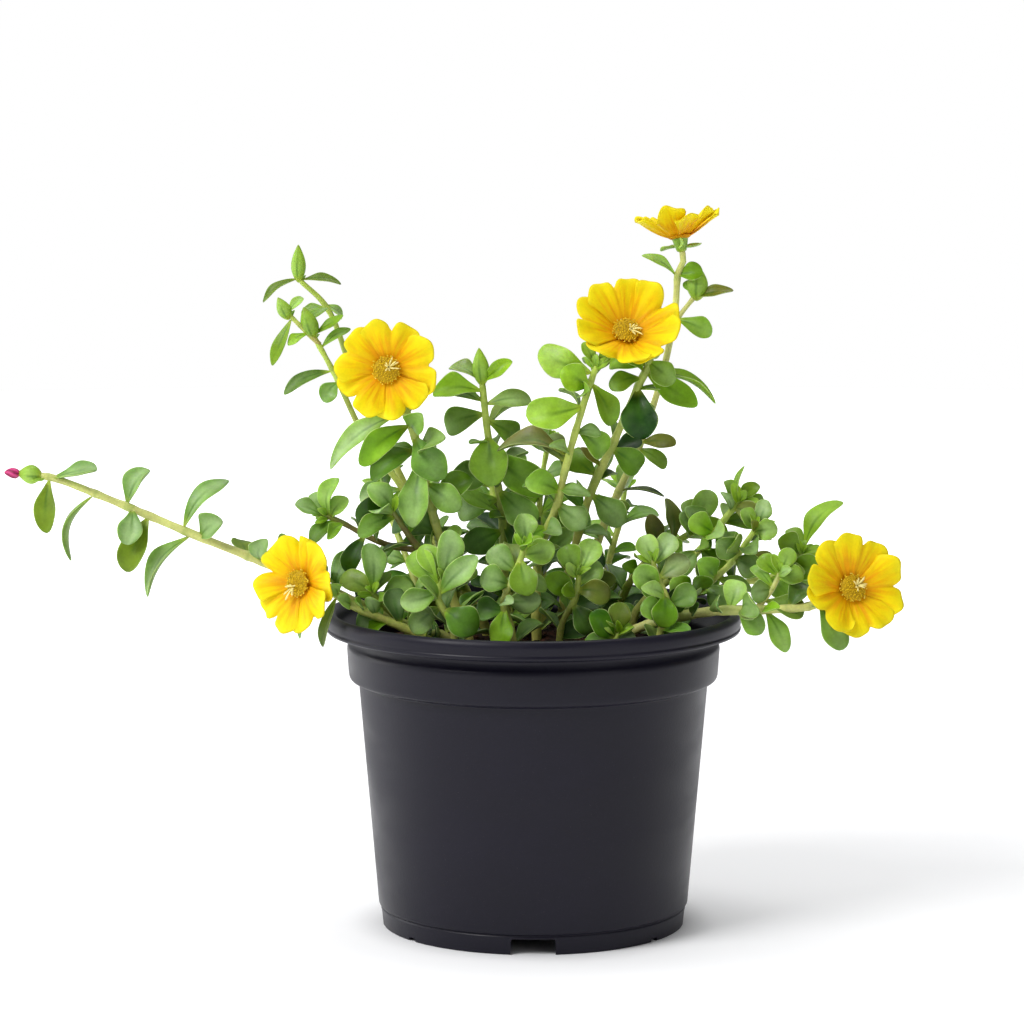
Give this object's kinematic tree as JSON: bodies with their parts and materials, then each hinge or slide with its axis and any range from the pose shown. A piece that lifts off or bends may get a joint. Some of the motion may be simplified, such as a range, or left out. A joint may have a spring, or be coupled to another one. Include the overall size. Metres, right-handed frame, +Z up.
{
  "type": "potted portulaca",
  "caption": "Yellow-flowered portulaca with fleshy spoon-shaped leaves and trailing stems, growing in soil in a round black nursery pot with a rolled rim.",
  "frame": {"origin": "centre of the pot's foot, on the surface that it stands on", "axes": "+Z up along the pot's axis; +X along the plant's widest spread, with the long trailing stem on the -X side; -Y faces the viewer of the picture"},
  "size_m": [0.2774, 0.13, 0.2258],
  "materials": {
    "pot_plastic": "satin black plastic with a faint violet cast",
    "soil": "moist dark peat, crumbly",
    "leaves": "fleshy green leaf with a soft sheen",
    "petals": "thin satiny golden yellow petal",
    "stamens": "powdery green gold",
    "bud_tip": "furled magenta petal"
  },
  "bodies": {
    "root": {"back_centre_stem": "leaves", "back_left_stem": "leaves", "back_right_stem": "leaves", "back_stem": "leaves", "centre_low_stem": "leaves", "centre_right_stem": "leaves", "centre_tall_stem": "leaves", "far_right_bloom": "petals", "far_right_bloom_eye": "stamens", "front_left_stem": "leaves", "front_middle_stem": "leaves", "front_right_stem": "leaves", "front_rim_stem": "leaves", "left_bloom": "petals", "left_bloom_eye": "stamens", "left_bloom_stem": "leaves", "left_bud_stem": "leaves", "left_trailing_stem": "leaves", "low_left_bloom": "petals", "low_left_bloom_eye": "stamens", "low_left_bloom_stem": "leaves", "magenta_bud_tip": "bud_tip", "middle_stem": "leaves", "pot": "pot_plastic", "right_back_stem": "leaves", "right_bloom": "petals", "right_bloom_eye": "stamens", "right_bloom_stem": "leaves", "right_middle_stem": "leaves", "right_outer_stem": "leaves", "right_trailing_stem": "leaves", "right_upper_stem": "leaves", "soil": "soil", "top_bloom": "petals", "top_bloom_eye": "stamens", "top_bloom_stem": "leaves", "upper_left_stem": "leaves"}
  },
  "joints": []
}
